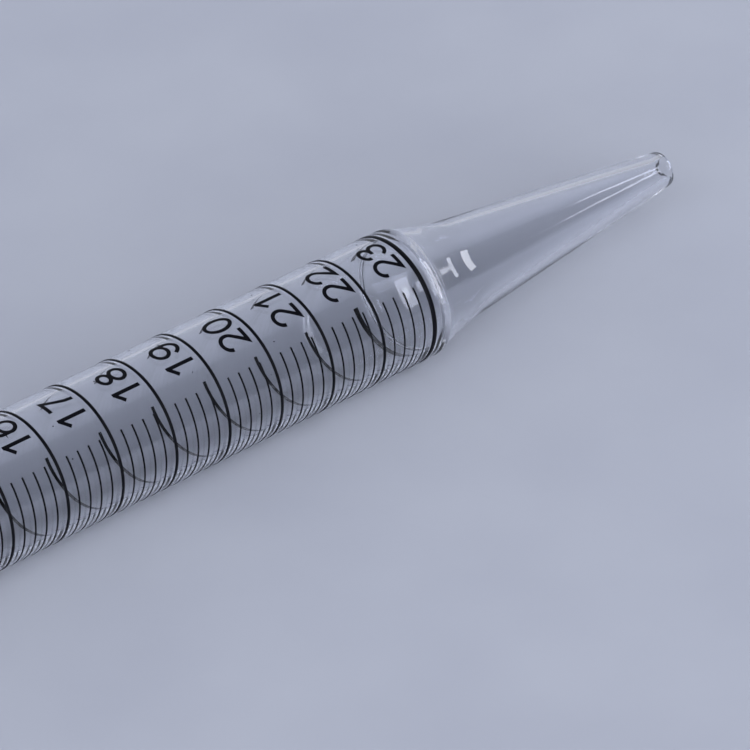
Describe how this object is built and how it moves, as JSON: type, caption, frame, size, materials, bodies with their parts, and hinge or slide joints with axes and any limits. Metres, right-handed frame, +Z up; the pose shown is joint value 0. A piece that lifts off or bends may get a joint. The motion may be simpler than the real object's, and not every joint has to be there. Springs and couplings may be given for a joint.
{
  "type": "serological pipette",
  "caption": "Clear disposable serological pipette: a graduated tube with a welded cone tip, a necked mouthpiece and a fibre plug.",
  "frame": {"origin": "on the surface it lies on, under the middle of the pipette's length", "axes": "+X along the axis towards the tip, +Z up, the numerals face -Y and up"},
  "size_m": [0.345, 0.015, 0.0151],
  "materials": {
    "tube": "clear extruded polystyrene",
    "tip": "clear moulded polystyrene",
    "mouthpiece": "clear moulded polystyrene",
    "plug": "white polyester fibre",
    "ink": "black printing ink",
    "band_ink": "red printing ink"
  },
  "bodies": {
    "root": {"tube": "tube", "tip": "tip", "mouthpiece": "mouthpiece", "filter_plug": "plug", "scale_rings": "ink", "last_ring": "ink", "scale_lines": "ink", "colour_band": "band_ink"}
  },
  "joints": []
}
